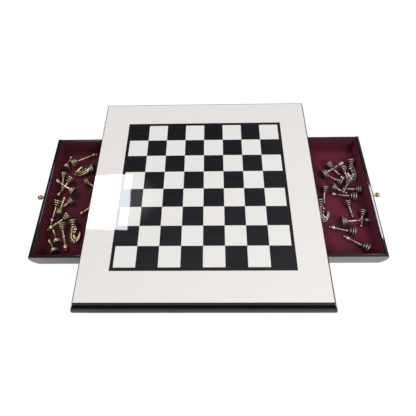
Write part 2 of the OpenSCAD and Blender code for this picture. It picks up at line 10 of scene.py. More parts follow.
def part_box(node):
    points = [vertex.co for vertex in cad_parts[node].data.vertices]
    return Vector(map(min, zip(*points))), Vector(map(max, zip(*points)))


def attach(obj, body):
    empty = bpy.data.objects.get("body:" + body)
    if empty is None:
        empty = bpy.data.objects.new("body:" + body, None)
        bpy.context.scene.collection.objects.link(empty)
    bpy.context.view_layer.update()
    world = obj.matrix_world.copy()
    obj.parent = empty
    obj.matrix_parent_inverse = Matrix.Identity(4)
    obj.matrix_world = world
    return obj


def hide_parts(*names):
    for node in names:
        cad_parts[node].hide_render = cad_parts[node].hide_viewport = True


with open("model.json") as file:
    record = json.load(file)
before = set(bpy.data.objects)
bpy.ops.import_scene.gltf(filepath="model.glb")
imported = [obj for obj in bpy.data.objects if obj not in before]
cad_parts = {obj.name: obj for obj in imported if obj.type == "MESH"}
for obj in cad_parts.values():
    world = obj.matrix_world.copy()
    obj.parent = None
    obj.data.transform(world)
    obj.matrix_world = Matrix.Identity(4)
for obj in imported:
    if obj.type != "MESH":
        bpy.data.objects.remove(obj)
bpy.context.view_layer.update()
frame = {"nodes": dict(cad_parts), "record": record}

NODES = frame["nodes"]
SCENE = bpy.context.scene
SCENE.view_settings.view_transform = "Standard"

MM = 0.001
SIDES = ("left", "right")
SQUARE = 0.036

# Inside of a drawer, from its floor lining: its width, the lining's thickness and,
# in millimetres, the height of the lining's upper face
FLOOR_LOW, FLOOR_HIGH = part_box("left_floor_lining")
HOLD_W = FLOOR_HIGH[1] - FLOOR_LOW[1]
LINING_T = round(FLOOR_HIGH[2] - FLOOR_LOW[2], 6)
LINED_Z = round(FLOOR_HIGH[2] / MM, 3)


# ------- meshes and objects

def mesh_of(name, points, faces):
    mesh = bpy.data.meshes.new(name)
    mesh.from_pydata(points, [], faces)
    return mesh


def put_in(name, data, sharp=None):
    """Puts a mesh, lamp or camera into the scene; a mesh is smooth below the sharp angle, in degrees."""
    obj = bpy.data.objects.new(name, data)
    SCENE.collection.objects.link(obj)
    if sharp:
        data.shade_smooth()
        data.set_sharp_from_angle(angle=math.radians(sharp))
    return obj


def paint(obj, material):
    obj.data.materials.clear()
    obj.data.materials.append(material)


def stand_in(obj, node, body):
    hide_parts(node)
    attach(obj, body)


def bands(rows, n, closed=False):
    """Quads between rows of n points each, every row a loop; closed joins the last row to the first."""
    faces = []
    for row in range(rows if closed else rows - 1):
        here, there = row * n, (row + 1) % rows * n
        for k in range(n):
            j = (k + 1) % n
            faces.append((here + k, there + k, there + j, here + j))
    return faces


def caps(rows, n):
    """Faces that close the first and the last row of such bands."""
    return [tuple(range(n)), tuple(reversed(range((rows - 1) * n, rows * n)))]


# ------- node trees

VEC, NUM, FINISH = "NodeSocketVector", "NodeSocketFloat", "NodeSocketMaterial"


class Tree:
    """A node tree that is filled by name: put() adds a node and feed() fills one of its sockets."""

    def __init__(self, tree):
        self.tree = tree

    def feed(self, socket, value):
        """Links another socket to this one, or sets a plain value; a colour is opaque."""
        if isinstance(value, bpy.types.NodeSocket):
            self.tree.links.new(value, socket)
        else:
            socket.default_value = (*value, 1) if socket.type == "RGBA" else value

    def put(self, kind, inputs=None, **settings):
        node = self.tree.nodes.new(kind)
        for key, value in settings.items():
            setattr(node, key, value)
        for key, value in (inputs or {}).items():
            self.feed(node.inputs[key], value)
        return node

    def maths(self, operation, a, b=None, clamp=False):
        node = self.put("ShaderNodeMath", operation=operation, use_clamp=clamp)
        for k, value in enumerate(v for v in (a, b) if v is not None):
            self.feed(node.inputs[k], value)
        return node.outputs[0]

    def plus(self, a, b, clamp=False):
        return self.maths("ADD", a, b, clamp)

    def minus(self, a, b):
        return self.maths("SUBTRACT", a, b)

    def times(self, a, b, clamp=False):
        return self.maths("MULTIPLY", a, b, clamp)

    def vec(self, operation, a, b=None, scale=None):
        """Vector maths, where a dot product gives a number."""
        node = self.put("ShaderNodeVectorMath", operation=operation)
        for key, value in ((0, a), (1, b), ("Scale", scale)):
            if value is not None:
                self.feed(node.inputs[key], value)
        return node.outputs["Value" if operation == "DOT_PRODUCT" else "Vector"]

    def xyz(self, x=0.0, y=0.0, z=0.0):
        return self.put("ShaderNodeCombineXYZ", {0: x, 1: y, 2: z}).outputs[0]

    def split(self, vector):
        """The x, y and z of a vector."""
        return self.put("ShaderNodeSeparateXYZ", {0: vector}).outputs

    def ramp(self, value, low, high, out_low=0.0, out_high=1.0):
        """Smooth step from one output to the other while the value goes from low to high."""
        node = self.put("ShaderNodeMapRange", {"Value": value, "From Min": low, "From Max": high,
                                               "To Min": out_low, "To Max": out_high},
                        interpolation_type="SMOOTHSTEP")
        return node.outputs["Result"]

    def pick(self, factor, a, b):
        """The number a where the factor is 0, and b where it is 1."""
        return self.put("ShaderNodeMix", {0: factor, 2: a, 3: b}, data_type="FLOAT").outputs[0]

    def tint(self, factor, a, b):
        """The colour a where the factor is 0, and b where it is 1."""
        node = self.put("ShaderNodeMix", data_type="RGBA")
        for name, value in (("Factor", factor), ("A", a), ("B", b)):
            self.feed(next(s for s in node.inputs if s.name == name and s.enabled), value)
        return next(s for s in node.outputs if s.enabled)

    def noise(self, where, scale, detail=3.0, rough=0.5):
        return self.put("ShaderNodeTexNoise", {"Vector": where, "Scale": scale, "Detail": detail,
                                               "Roughness": rough}).outputs["Fac"]

    def scaled(self, where, scale, turn=(0, 0, 0)):
        return self.put("ShaderNodeMapping", {"Vector": where, "Scale": scale, "Rotation": turn}).outputs[0]


def open_inputs(group, rows):
    """Inputs of a node group, from (name, kind, default) rows."""
    for label, kind, default in rows:
        socket = group.interface.new_socket(label, in_out="INPUT", socket_type=kind)
        if default is not None:
            socket.default_value = default


def shared(name, label, default, outputs):
    """A shader node group of a place and one number; returns it, its tree, those two and its outputs."""
    group = bpy.data.node_groups.new(name, "ShaderNodeTree")
    open_inputs(group, [("Place", VEC, None), (label, NUM, default)])
    for output in outputs:
        group.interface.new_socket(output, in_out="OUTPUT", socket_type=NUM)
    t = Tree(group)
    given = t.put("NodeGroupInput").outputs
    return group, t, given["Place"], given[label], t.put("NodeGroupOutput").inputs


def dust_group():
    """Sparse settled specks and faint wiping marks, as a mask."""
    group, t, place, amount, out = shared("settled_dust", "Amount", 0.3, ["Mask"])
    specks = t.put("ShaderNodeTexVoronoi", {"Vector": place, "Scale": 420.0}).outputs["Distance"]
    specks = t.ramp(specks, 0.16, 0.05)
    rare = t.ramp(t.noise(place, 160.0, 2.0), 0.60, 0.72)
    wipes = t.ramp(t.noise(t.scaled(place, (5.0, 60.0, 5.0), (0, 0, 0.5)), 1.0), 0.45, 0.8)
    both = t.plus(t.times(specks, rare), t.times(wipes, 0.35))
    t.feed(out["Mask"], t.times(both, amount, True))
    return group


def lacquer_group():
    """Height of a sprayed and buffed lacquer: long waves and a fine peel."""
    group, t, place, amount, out = shared("lacquer_skin", "Peel", 0.5, ["Height"])
    waves = t.noise(place, 14.0, 1.0)
    peel = t.noise(place, 320.0, 2.0)
    t.feed(out["Height"], t.plus(waves, t.times(t.times(peel, amount), 0.06)))
    return group


def grain_group():
    """Straight veneer or board grain along X: streak and pore masks."""
    group, t, place, fineness, out = shared("wood_grain", "Fineness", 1.0, ["Streak", "Pores"])
    fine = t.vec("SCALE", place, scale=fineness)
    bend = t.noise(t.scaled(fine, (4.0, 14.0, 14.0)), 1.0, 2.0)
    place = t.vec("ADD", fine, t.xyz(y=t.times(bend, 0.02)))
    streak = t.noise(t.scaled(place, (6.0, 260.0, 260.0)), 1.0, 4.0, 0.6)
    pores = t.noise(t.scaled(place, (60.0, 1900.0, 1900.0)), 1.0, 2.0)
    t.feed(out["Streak"], t.ramp(streak, 0.3, 0.7))
    t.feed(out["Pores"], t.ramp(pores, 0.62, 0.74))
    return group


def pile_group():
    """Nap of a velvet or a felt: fibre height and brushed patches."""
    group, t, place, fineness, out = shared("cloth_pile", "Fibre", 1600.0, ["Fibre", "Brushed"])
    fibre = t.noise(place, fineness, 2.0)
    brushed = t.noise(t.scaled(place, (18.0, 30.0, 30.0), (0, 0, 0.6)), 1.0, 3.0, 0.55)
    brushed = t.plus(t.times(brushed, 0.75), t.times(t.noise(place, 130.0, 2.0), 0.25))
    t.feed(out["Fibre"], fibre)
    t.feed(out["Brushed"], t.ramp(brushed, 0.32, 0.68))
    return group


def cast_group():
    """Cast metal: rubbed places, dark patina patches and a slightly grainy skin."""
    group, t, place, rubbed, out = shared("cast_skin", "Rubbed", 0.5, ["Bright", "Height"])
    patches = t.noise(place, 260.0, 3.0, 0.6)
    grain = t.noise(place, 1500.0, 2.0)
    mixed = t.plus(t.times(patches, 0.6), t.times(grain, 0.2))
    mixed = t.plus(t.minus(mixed, 0.42), rubbed)
    t.feed(out["Bright"], t.ramp(mixed, 0.30, 0.72))
    t.feed(out["Height"], t.plus(t.times(patches, 0.6), t.times(grain, 0.4)))
    return group


DUST, LACQUER, GRAIN, PILE, CAST = dust_group(), lacquer_group(), grain_group(), pile_group(), cast_group()


def use(t, group, **inputs):
    """Places a shared group in a material with its own values."""
    return t.put("ShaderNodeGroup", inputs, node_tree=group).outputs


def blank_material(name):
    """A material whose tree is empty, and that tree."""
    material = bpy.data.materials.new(name)
    material.use_nodes = True
    material.node_tree.nodes.clear()
    return material, Tree(material.node_tree)


def finish_material(name, build):
    """A material of one shader that is filled by a finish."""
    material, t = blank_material(name)
    shader = t.put("ShaderNodeBsdfPrincipled")
    where = t.put("ShaderNodeTexCoord").outputs["Object"]
    build(t, shader, where)
    t.put("ShaderNodeOutputMaterial", {"Surface": shader.outputs["BSDF"]})
    return material


def coat(t, shader, colour, rough, height, depth, **more):
    """Fills the shader's colour, roughness and bump, and more sockets by name, with _ for a space."""
    bump = t.put("ShaderNodeBump", {"Height": height, "Distance": depth, "Strength": 1.0})
    more.update(Base_Color=colour, Roughness=rough, Normal=bump.outputs["Normal"])
    for name, value in more.items():
        t.feed(shader.inputs[name.replace("_", " ")], value)


# ------- finishes
# A finish fills a shader. Colours are linear, and depths are in metres.

# From the drawer's middle to where the velvet's painted shade stops drifting
SHADE_DRIFT_HALF = 0.11


def black_lacquer(t, shader, where):
    """Black high-gloss lacquer with the wood's streaks faintly in it."""
    dust = use(t, DUST, Place=where, Amount=0.5)["Mask"]
    skin = use(t, LACQUER, Place=where, Peel=0.6)["Height"]
    streak = use(t, GRAIN, Place=where, Fineness=0.6)["Streak"]
    colour = t.tint(t.times(streak, 0.5), (0.0045, 0.0045, 0.0055), (0.0075, 0.007, 0.009))
    colour = t.tint(t.times(dust, 0.10), colour, (0.30, 0.29, 0.28))
    coat(t, shader, colour, t.ramp(dust, 0.0, 1.0, 0.045, 0.20), skin, 0.00035, IOR=1.52)


def inlay(light, dark, grain_part):
    """Veneer squares or bands under high-gloss lacquer; every square has a tone of its own."""
    def build(t, shader, where):
        cell = t.vec("FLOOR", t.vec("DIVIDE", where, (SQUARE, SQUARE, 1.0)))
        own = t.put("ShaderNodeTexWhiteNoise", {"Vector": cell}, noise_dimensions="3D").outputs
        place = t.vec("ADD", where, t.vec("SCALE", own["Color"], scale=0.3))
        grain = use(t, GRAIN, Place=place, Fineness=0.55)
        tone = t.plus(t.times(grain["Streak"], 0.7), t.times(own["Value"], 0.3))
        colour = t.tint(t.times(tone, grain_part), light, dark)
        colour = t.tint(t.times(grain["Pores"], 0.25 * grain_part), colour, dark)
        dust = use(t, DUST, Place=where, Amount=0.35)["Mask"]
        skin = use(t, LACQUER, Place=where, Peel=0.35)["Height"]
        coat(t, shader, colour, t.ramp(dust, 0.0, 1.0, 0.02, 0.12), skin, 0.0002, IOR=1.5)
    return build


def plain_wood(t, shader, where):
    """Bare board inside the casing and the drawers."""
    grain = use(t, GRAIN, Place=where, Fineness=1.0)
    colour = t.tint(grain["Streak"], (0.52, 0.37, 0.23), (0.36, 0.23, 0.13))
    colour = t.tint(t.times(grain["Pores"], 0.6), colour, (0.20, 0.12, 0.07))
    coat(t, shader, colour, t.ramp(grain["Streak"], 0.0, 1.0, 0.55, 0.7), grain["Streak"], 0.0002)


def velvet(near, far):
    """Burgundy velvet with painted shade: its tone drifts from the near end of the drawer to the far end,
    with random brushed patches of nap over that.
    """
    def build(t, shader, where):
        pile = use(t, PILE, Place=where, Fibre=1700.0)
        along = t.split(where)[1]
        # Painted shade along the drawer, mixed with the nap's own brushed patches
        shade_and_nap = t.plus(t.ramp(along, -SHADE_DRIFT_HALF, SHADE_DRIFT_HALF), t.times(pile["Brushed"], 0.25), True)
        colour = t.tint(shade_and_nap, near, far)
        tips = t.times(t.ramp(pile["Fibre"], 0.4, 0.7), 0.5)
        colour = t.tint(tips, colour, (0.15, 0.022, 0.042))
        coat(t, shader, colour, t.ramp(pile["Fibre"], 0.3, 0.7, 0.8, 0.95), pile["Fibre"], 0.0004,
             Sheen_Weight=0.25, Sheen_Roughness=0.35, Sheen_Tint=(0.75, 0.16, 0.26),
             Specular_IOR_Level=0.1)
    return build


def felt(low, high):
    """Felt whose tone goes from low to high with its fibres."""
    def build(t, shader, where):
        pile = use(t, PILE, Place=where, Fibre=1100.0)
        colour = t.tint(pile["Fibre"], low, high)
        coat(t, shader, colour, t.ramp(pile["Brushed"], 0.0, 1.0, 0.85, 0.97), pile["Fibre"], 0.0005,
             Sheen_Weight=0.1, Sheen_Roughness=0.5, Specular_IOR_Level=0.1)
    return build


def bright_metal(dull, bright, rubbed, dull_rough, bright_rough, depth):
    """Bare metal that is bright where it is rubbed."""
    def build(t, shader, where):
        cast = use(t, CAST, Place=where, Rubbed=rubbed)
        colour = t.tint(cast["Bright"], dull, bright)
        rough = t.ramp(cast["Bright"], 0.0, 1.0, dull_rough, bright_rough)
        coat(t, shader, colour, rough, cast["Height"], depth, Metallic=1.0)
    return build


def antique(bright, warm, dark, rubbed):
    """Cast metal with dark patina in its grooves, as the piece's own "worn" attribute says."""
    def build(t, shader, where):
        worn = t.put("ShaderNodeAttribute", attribute_name="worn").outputs["Fac"]
        cast = use(t, CAST, Place=where, Rubbed=t.plus(t.times(worn, 0.8), rubbed))
        tone = t.tint(t.ramp(t.noise(where, 90.0, 2.0), 0.35, 0.65), bright, warm)
        colour = t.tint(cast["Bright"], dark, tone)
        bare = t.ramp(cast["Bright"], 0.0, 0.6, 0.4, 0.92)
        rough = t.ramp(cast["Bright"], 0.0, 1.0, 0.55, 0.25)
        coat(t, shader, colour, rough, cast["Height"], 0.00006, Metallic=bare)
    return build


FINISHES = {
    "black_lacquer": black_lacquer,
    "cream_gloss": inlay((0.835, 0.80, 0.775), (0.785, 0.75, 0.72), 0.35),
    "pale_square_gloss": inlay((0.84, 0.815, 0.785), (0.79, 0.765, 0.73), 0.45),
    "ebony_gloss": inlay((0.0085, 0.0075, 0.0105), (0.0155, 0.0135, 0.017), 1.0),
    "plain_wood": plain_wood,
    # The two velvets are one cloth in two tones of painted light and shade: the left drawer darker, the
    # right brighter
    "left_velvet": velvet((0.054, 0.0115, 0.0165), (0.072, 0.0148, 0.0212)),
    "right_velvet": velvet((0.128, 0.0220, 0.038), (0.122, 0.0205, 0.0335)),
    "felt": felt((0.006, 0.006, 0.006), (0.028, 0.027, 0.027)),
    "pad_felt": felt((0.004, 0.004, 0.005), (0.020, 0.020, 0.023)),
    "polished_brass": bright_metal((0.15, 0.095, 0.045), (0.48, 0.35, 0.18), 0.75, 0.35, 0.14, 0.00003),
    "screw_steel": bright_metal((0.35, 0.34, 0.33), (0.66, 0.66, 0.68), 0.6, 0.45, 0.28, 0.00004),
    "aged_brass": antique((0.70, 0.545, 0.335), (0.53, 0.388, 0.212), (0.022, 0.016, 0.008), 0.18),
    "dark_bronze": antique((0.56, 0.455, 0.47), (0.455, 0.333, 0.313), (0.018, 0.014, 0.016), 0.12),
}
MATERIALS = {name: finish_material(name, build) for name, build in FINISHES.items()}

SLOTS = {row["node"]: row["material_slot"] for row in frame["record"]["subparts"]}


def paint_nodes():
    """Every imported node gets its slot's finish, except the linings, which are replaced further on."""
    for name, obj in NODES.items():
        key = "pale_square_gloss" if name == "light_squares" else SLOTS[name]
        if key in MATERIALS:
            paint(obj, MATERIALS[key])


paint_nodes()


# ------- the men
# Turned and cast in millimetres, standing on z = 0 about their own axis, and
# then laid in their drawer. "worn" is 1 on rubbed ridges and 0 in dark grooves.
# A profile is a list of (radius, height, worn, depth of its flutes).

KING_H, QUEEN_H, BISHOP_H, KNIGHT_H, ROOK_H, PAWN_H = 53.0, 51.0, 46.0, 44.0, 43.0, 33.0
ROYAL_R, PIECE_R, PAWN_R, STEM_R = 9.9, 9.2, 8.0, 1.8
PAWN_HEAD, BISHOP_HEAD, ROOK_HEAD, ROYAL_HEAD = 3.1, 4.2, 3.6, 4.6
HORSE_T, PAD_T, PAD_INSET = 7.2, 0.8, 1.4

# How far a lying man stays above the lining
LIE_GAP = 0.25

# Rings of a foot: their radii, their step and their height, over the foot's radius
FINE_RINGS = ((1.0, 0.89, 0.76, 0.60), 0.29, 0.19)
BOLD_RINGS = ((1.0, 0.90, 0.66), 0.41, 0.29)

# Depth of the grooves between them and radius of the cove above them, over the
# same radius; then the stem's width at the cove over its plain width, and how
# much of that it loses up to its head
GROOVE_PART, COVE_PART, SWELL, TAPER = 0.15, 0.26, 1.2, 0.12

# Flutes round the cup of a king or a queen
FLUTES = 8

# Bishop's egg: half its height, the half height of the curve it is cut from, and
# the ball on it, over the head's radius; then the way across its slot and half
# the slot's width
EGG_HALF, EGG_CURVE, EGG_BALL = 1.25, 1.4, 0.46
SLOT_ACROSS, SLOT_HALF = Vector((0.5, 0, 0.87)), 0.5

# Rook's battlement: blocks, width of a gap over the head's radius, bevel
BLOCKS, GAP_PART, BEVEL = 6, 0.35, 0.25

# Below this radius a point of a profile lies on the axis; edges sharper than
# this angle, in degrees, stay sharp
ON_AXIS, SHARP_CAST = 1e-6, 42.0


def turned(degrees, axis):
    return Matrix.Rotation(math.radians(degrees), 4, axis)


class Cast:
    """Shells that become one mesh: points, faces and how far each point is rubbed bright."""

    def __init__(self):
        self.points, self.faces, self.worn = [], [], []

    def add(self, points, faces, worn, place):
        start = len(self.points)
        self.points += [tuple(place @ Vector(p)) for p in points]
        self.faces += [tuple(start + k for k in face) for face in faces]
        self.worn += worn

    def make(self, name):
        mesh = mesh_of(name, [[MM * c for c in p] for p in self.points], self.faces)
        mesh.attributes.new("worn", "FLOAT", "POINT").data.foreach_set("value", self.worn)
        return put_in(name, mesh, SHARP_CAST)


def lathe(profile, turns=40):
    """Closed turned shell of a profile whose first and last points lie on the axis."""
    points, faces, worn, rings = [], [], [], []
    for r, z, rub, flute in profile:
        start = len(points)
        if r < ON_AXIS:
            points.append((0.0, 0.0, z))
            worn.append(rub)
            rings.append([start] * turns)
            continue
        for k in range(turns):
            a = 2 * math.pi * k / turns
            ridge = math.cos(FLUTES * a)
            cut = r * (1 + flute * (ridge - 1))
            points.append((cut * math.cos(a), cut * math.sin(a), z))
            worn.append(rub if not flute else rub * (0.6 + 0.4 * ridge))
        rings.append(list(range(start, start + turns)))
    for low, high in zip(rings, rings[1:]):
        for k in range(turns):
            j = (k + 1) % turns
            face = tuple(dict.fromkeys((low[k], low[j], high[j], high[k])))
            if len(face) > 2:
                faces.append(face)
    return points, faces, worn


def ring(r, z, height):
    """Half-round ring that stands on height z."""
    half, steps, out = height / 2, 6, []
    for k in range(steps + 1):
        a = math.radians(-90 + 180 * k / steps)
        out.append((r - half + half * math.cos(a), z + half + half * math.sin(a), math.cos(a) ** 1.5, 0))
    return out


def foot(r):
    """Beehive base: rings with deep dark grooves between them, then the cove.

    Royals have four fine rings, the others three bold ones.
    """
    parts, step, height = FINE_RINGS if r == ROYAL_R else BOLD_RINGS
    out = [(0, 0, 0.2, 0), (0.8 * r, 0, 0.5, 0)]
    for k, part in enumerate(parts):
        z = k * step * r
        after = parts[min(k + 1, len(parts) - 1)]
        if k:
            out.append(((part - GROOVE_PART) * r, z - 0.01 * r, 0.0, 0))
        out += ring(part * r, z, height * r)
        out.append(((after - GROOVE_PART) * r, z + (height + 0.01) * r, 0.0, 0))
    top, cove, steps = len(parts) * step * r, COVE_PART * r, 6
    for k in range(steps + 1):
        a = math.radians(90 * k / steps)
        wide = STEM_R * SWELL + cove * (1 - math.sin(a))
        out.append((wide, top + cove * (1 - math.cos(a)), 0.25 + 0.7 * k / steps, 0))
    return out


def stem(z0, z1):
    """Slim stem, a little swollen towards the base."""
    steps = 4
    return [(STEM_R * (SWELL - TAPER * k / steps), z0 + (z1 - z0) * k / steps, 0.9, 0)
            for k in range(1, steps + 1)]


def collar(wide, z, t):
    """Thin rounded collar, so many times as wide as the stem, with a dark line on each side."""
    below = [(STEM_R, z - t - 0.25, 0.6, 0), (STEM_R, z - t, 0.35, 0)]
    above = [(STEM_R, z + t, 0.35, 0), (STEM_R, z + t + 0.25, 0.6, 0)]
    out, bead = wide * STEM_R - STEM_R, []
    for a in (math.radians(a) for a in (-75, -45, 0, 45, 75)):
        bead.append((STEM_R + out * math.cos(a), z + t * math.sin(a), 1.0, 0))
    return below + bead + above


def ball(r, z, low=-60, high=90, steps=9):
    """Ball between two angles from its middle, in degrees; at 90 it ends on the axis."""
    out = []
    for k in range(steps):
        a = math.radians(low + (high - low) * k / (steps - 1))
        out.append((r * math.cos(a) if k < steps - 1 or high < 90 else 0.0, z + r * math.sin(a), 0.95, 0))
    return out


def cup(top, r, fluting):
    """Flared cup with a fluted rim; a row is its width, its drop, how worn and how fluted it is."""
    rows = ((0.62, 1.1, 0.8, 0.5), (0.95, 0.5, 1.0, 1), (1.0, 0.3, 1.0, 1), (0.95, 0.08, 0.8, 1),
            (0.8, 0, 0.3, 1))
    return [(STEM_R, top - 1.7 * r, 0.25, 0)] + [
        (wide * r, top - down * r, rub, part * fluting) for wide, down, rub, part in rows]


def royal_collars(height):
    """Wide collar and a slimmer one above it on the stem of a king or a queen."""
    return collar(1.8, 0.56 * height, 0.3 * ROYAL_HEAD) + collar(1.6, 0.64 * height, 0.25 * ROYAL_HEAD)


def body(r, head):
    """Foot, stem and head of one turned man."""
    low = foot(r)
    return low + stem(low[-1][1], head[0][1] - 0.3) + head


def pawn(cast, place):
    r = PAWN_HEAD
    head = collar(1.5, PAWN_H - 2.6 * r, 0.3 * r) + ball(r, PAWN_H - r)
    cast.add(*lathe(body(PAWN_R, head)), place)


def bishop(cast, place):
    """Blunt egg with a slanted slot on one side and a small ball on top."""
    r = BISHOP_HEAD
    tip = EGG_BALL * r
    middle = BISHOP_H - 1.5 * tip - EGG_HALF * r
    half, egg = 7, []
    for k in range(2 * half + 1):
        z = EGG_HALF * r * (k / half - 1)
        wide = r * math.sqrt(1 - (z / (EGG_CURVE * r)) ** 2)
        egg.append((wide, middle + z, 0.35 if k in (0, 2 * half) else 0.95, 0))
    head = collar(1.6, 0.58 * BISHOP_H, 0.3 * r) + collar(1.6, 0.67 * BISHOP_H, 0.3 * r)
    head += egg + ball(tip, BISHOP_H - tip, -28, 90, 6)
    points, faces, worn = lathe(body(PIECE_R, head), turns=48)
    slot_at = Vector((r / 2, 0, middle + 0.5 * r))
    for k, p in enumerate(points):
        off = (Vector(p) - slot_at).dot(SLOT_ACROSS)
        if p[0] > 0.2 * r and abs(off) < SLOT_HALF and p[2] > middle - r:
            points[k] = (p[0] * 0.86, p[1] * 0.86, p[2])
            worn[k] = 0.0
    cast.add(points, faces, worn, place)


def block(cast, place, inner, outer, z0, z1, a0, a1):
    """Curved block of a battlement between two angles, in degrees."""
    section = ((inner, z0), (outer, z0), (outer, z1 - BEVEL), (outer - BEVEL, z1), (inner, z1))
    n, steps, points = len(section), 5, []
    for k in range(steps + 1):
        a = math.radians(a0 + (a1 - a0) * k / steps)
        points += [(r * math.cos(a), r * math.sin(a), z) for r, z in section]
    worn = [0.5, 0.6, 1.0, 1.0, 0.7] * (steps + 1)
    cast.add(points, bands(steps + 1, n) + caps(steps + 1, n), worn, place)


def rook(cast, place):
    """Round tower with a battlement of blocks on its floor."""
    r = ROOK_HEAD
    z = ROOK_H - 2.2 * r
    floor_z = ROOK_H - 0.5 * r
    head = collar(1.6, 0.62 * ROOK_H, 0.3 * r)
    head += [(STEM_R, z, 0.2, 0), (0.7 * r, z + 0.5 * r, 0.8, 0), (0.85 * r, z + 0.8 * r, 0.9, 0),
             (0.86 * r, z + 0.86 * r, 0.1, 0), (r, z + 1.1 * r, 1.0, 0), (r, floor_z, 0.8, 0),
             (0.9 * r, floor_z + 0.02, 0.3, 0), (0, floor_z + 0.02, 0.1, 0)]
    cast.add(*lathe(body(PIECE_R, head)), place)
    gap = math.degrees(math.asin(0.5 * GAP_PART))
    turn = 360 / BLOCKS
    for k in range(BLOCKS):
        block(cast, place, 0.62 * r, r, floor_z - 0.3, ROOK_H, turn * k + gap, turn * k + turn - gap)


def queen(cast, place):
    """Fluted cup that holds a large ball with a small one on top."""
    r = ROYAL_HEAD
    tip = 0.3 * r
    ball_z = QUEEN_H - 1.5 * tip - r
    head = royal_collars(QUEEN_H) + cup(ball_z - 0.6 * r, 0.8 * r, 0.07)
    head += ball(r, ball_z, -37, 74, 10) + ball(tip, QUEEN_H - tip, -25, 90, 6)
    cast.add(*lathe(body(ROYAL_R, head), turns=48), place)


def cross(cast, place, z0, height, t):
    """Cross with flared arms and bevelled edges."""
    w = 2.0 * t
    arm = z0 + height - 1.65 * t
    half = [(0.42 * t, z0 - t), (0.36 * t, arm - 0.36 * t), (w, arm - 0.55 * t), (w, arm + 0.55 * t),
            (0.36 * t, arm + 0.36 * t), (0.55 * t, z0 + height)]
    outline = half + [(-x, z) for x, z in reversed(half)]
    middle = Vector((0, arm))
    layers = ((-t / 2, 0.85, 1.0), (-t / 3, 1.0, 0.8), (t / 3, 1.0, 0.8), (t / 2, 0.85, 1.0))
    points, worn = [], []
    for y, shrink, rub in layers:
        for x, z in outline:
            p = middle + (Vector((x, z)) - middle) * shrink
            points.append((p.x, y, p.y))
            worn.append(rub)
    n = len(outline)
    cast.add(points, caps(len(layers), n) + bands(len(layers), n), worn, place)


def king(cast, place):
    """Fluted cup with a cross on it."""
    r = ROYAL_HEAD
    tall, t = 1.1 * r, 0.36 * r
    crown = KING_H - tall
    head = royal_collars(KING_H) + cup(crown, 0.85 * r, 0.06)
    head += [(0.5 * r, crown + 0.1, 0.9, 0), (0, crown + 0.25, 0.9, 0)]
    cast.add(*lathe(body(ROYAL_R, head), turns=48), place)
    cross(cast, place, crown, tall, t)


# Ribs of the horse from the foot over the poll to the lips: the inner point and the
# outer point in its side view, and half its thickness, for a man of this height
HORSE_TALL = 44.4
HORSE_RIBS = [
    (4.2, 10.6, -4.2, 10.6, 2.8), (6.2, 13.0, -5.6, 13.8, 3.4), (8.0, 15.6, -6.6, 17.4, 3.8),
    (8.3, 18.4, -7.2, 21.0, 3.9), (7.0, 21.2, -7.5, 24.8, 3.9), (5.0, 23.8, -7.5, 28.6, 3.8),
    (3.6, 26.4, -7.2, 32.6, 3.7), (3.3, 28.6, -6.2, 36.6, 3.4), (3.6, 30.2, -3.6, 40.8, 3.0),
    (4.2, 31.0, -0.2, 43.2, 2.7), (5.0, 31.4, 3.0, 43.2, 2.7), (6.0, 31.0, 6.2, 41.6, 2.9),
    (7.0, 29.8, 8.8, 39.0, 3.0), (7.9, 28.2, 10.9, 35.8, 2.8), (8.6, 26.6, 12.3, 32.6, 2.6),
    (9.2, 25.0, 13.2, 29.6, 2.5), (10.0, 23.6, 13.4, 26.8, 2.2), (11.2, 22.9, 12.9, 24.6, 1.2)]

# Points round a rib, rows from one rib to the next, and the power that squares the neck
HORSE_N, HORSE_FINE, HORSE_SQUARE = 44, 4, 0.85

# Small forms on each flank, as (forwards, out, up), and how far the ears lean forwards, in degrees
EYE_AT, NOSTRIL_AT, EAR_AT, EAR_LEAN = (7.0, 2.45, 36.1), (11.9, 1.55, 27.4), (1.2, 1.35, 41.2), -22


def between(a, b, c, d, t):
    """Smooth curve through b and c, with a and d beyond them."""
    return (2 * b + (c - a) * t + (2 * a - 5 * b + 4 * c - d) * t * t
            + (3 * b - a - 3 * c + d) * t ** 3) / 2


def rise(value, start, length):
    """0 up to the start, and 1 once the length is passed."""
    return min(1, max(0, (value - start) / length))


def locks(angle):
    """Carved lines with broad ridges between them."""
    return (0.5 - 0.5 * math.cos(angle)) ** 1.5


def carved(s, c, d):
    """Depth of the carving on rib s, and how far it is rubbed bright.

    c goes from -1 at the throat to 1 at the crest, and d from -1 to 1 between the flanks. The
    mane runs down the crest and the curls down the chest; the brow is near rib 12, the cheek
    near rib 10 and the mouth near rib 16.
    """
    mane = rise(c, -0.3, 0.25) * rise(s, 0.8, 0.8) * rise(-s, -10.6, 0.8)
    curls = rise(-c, 0.1, 0.2) * rise(s, 0.3, 0.5) * rise(-s, -6.2, 0.8)
    wave = mane * locks(2 * math.pi * 1.5 * (1 - c)) + curls * locks(2 * math.pi * (0.5 * s + 0.5 * c))
    brow = math.exp(-((s - 12.0) / 0.5) ** 2 - ((abs(d) - 0.93) / 0.25) ** 2) if c > 0 else 0
    cheek = math.exp(-((s - 9.8) / 0.35) ** 2) * min(1, abs(d) * 1.3)
    mouth = math.exp(-((s - 15.6) / 0.25) ** 2) * (1 if c < 0.2 else 0.2)
    depth = 1.1 * wave + (0.5 * brow + 0.35 * cheek + 0.3 * mouth)
    return depth, max(0.0, 1.0 - 1.5 * wave - brow - cheek - mouth)


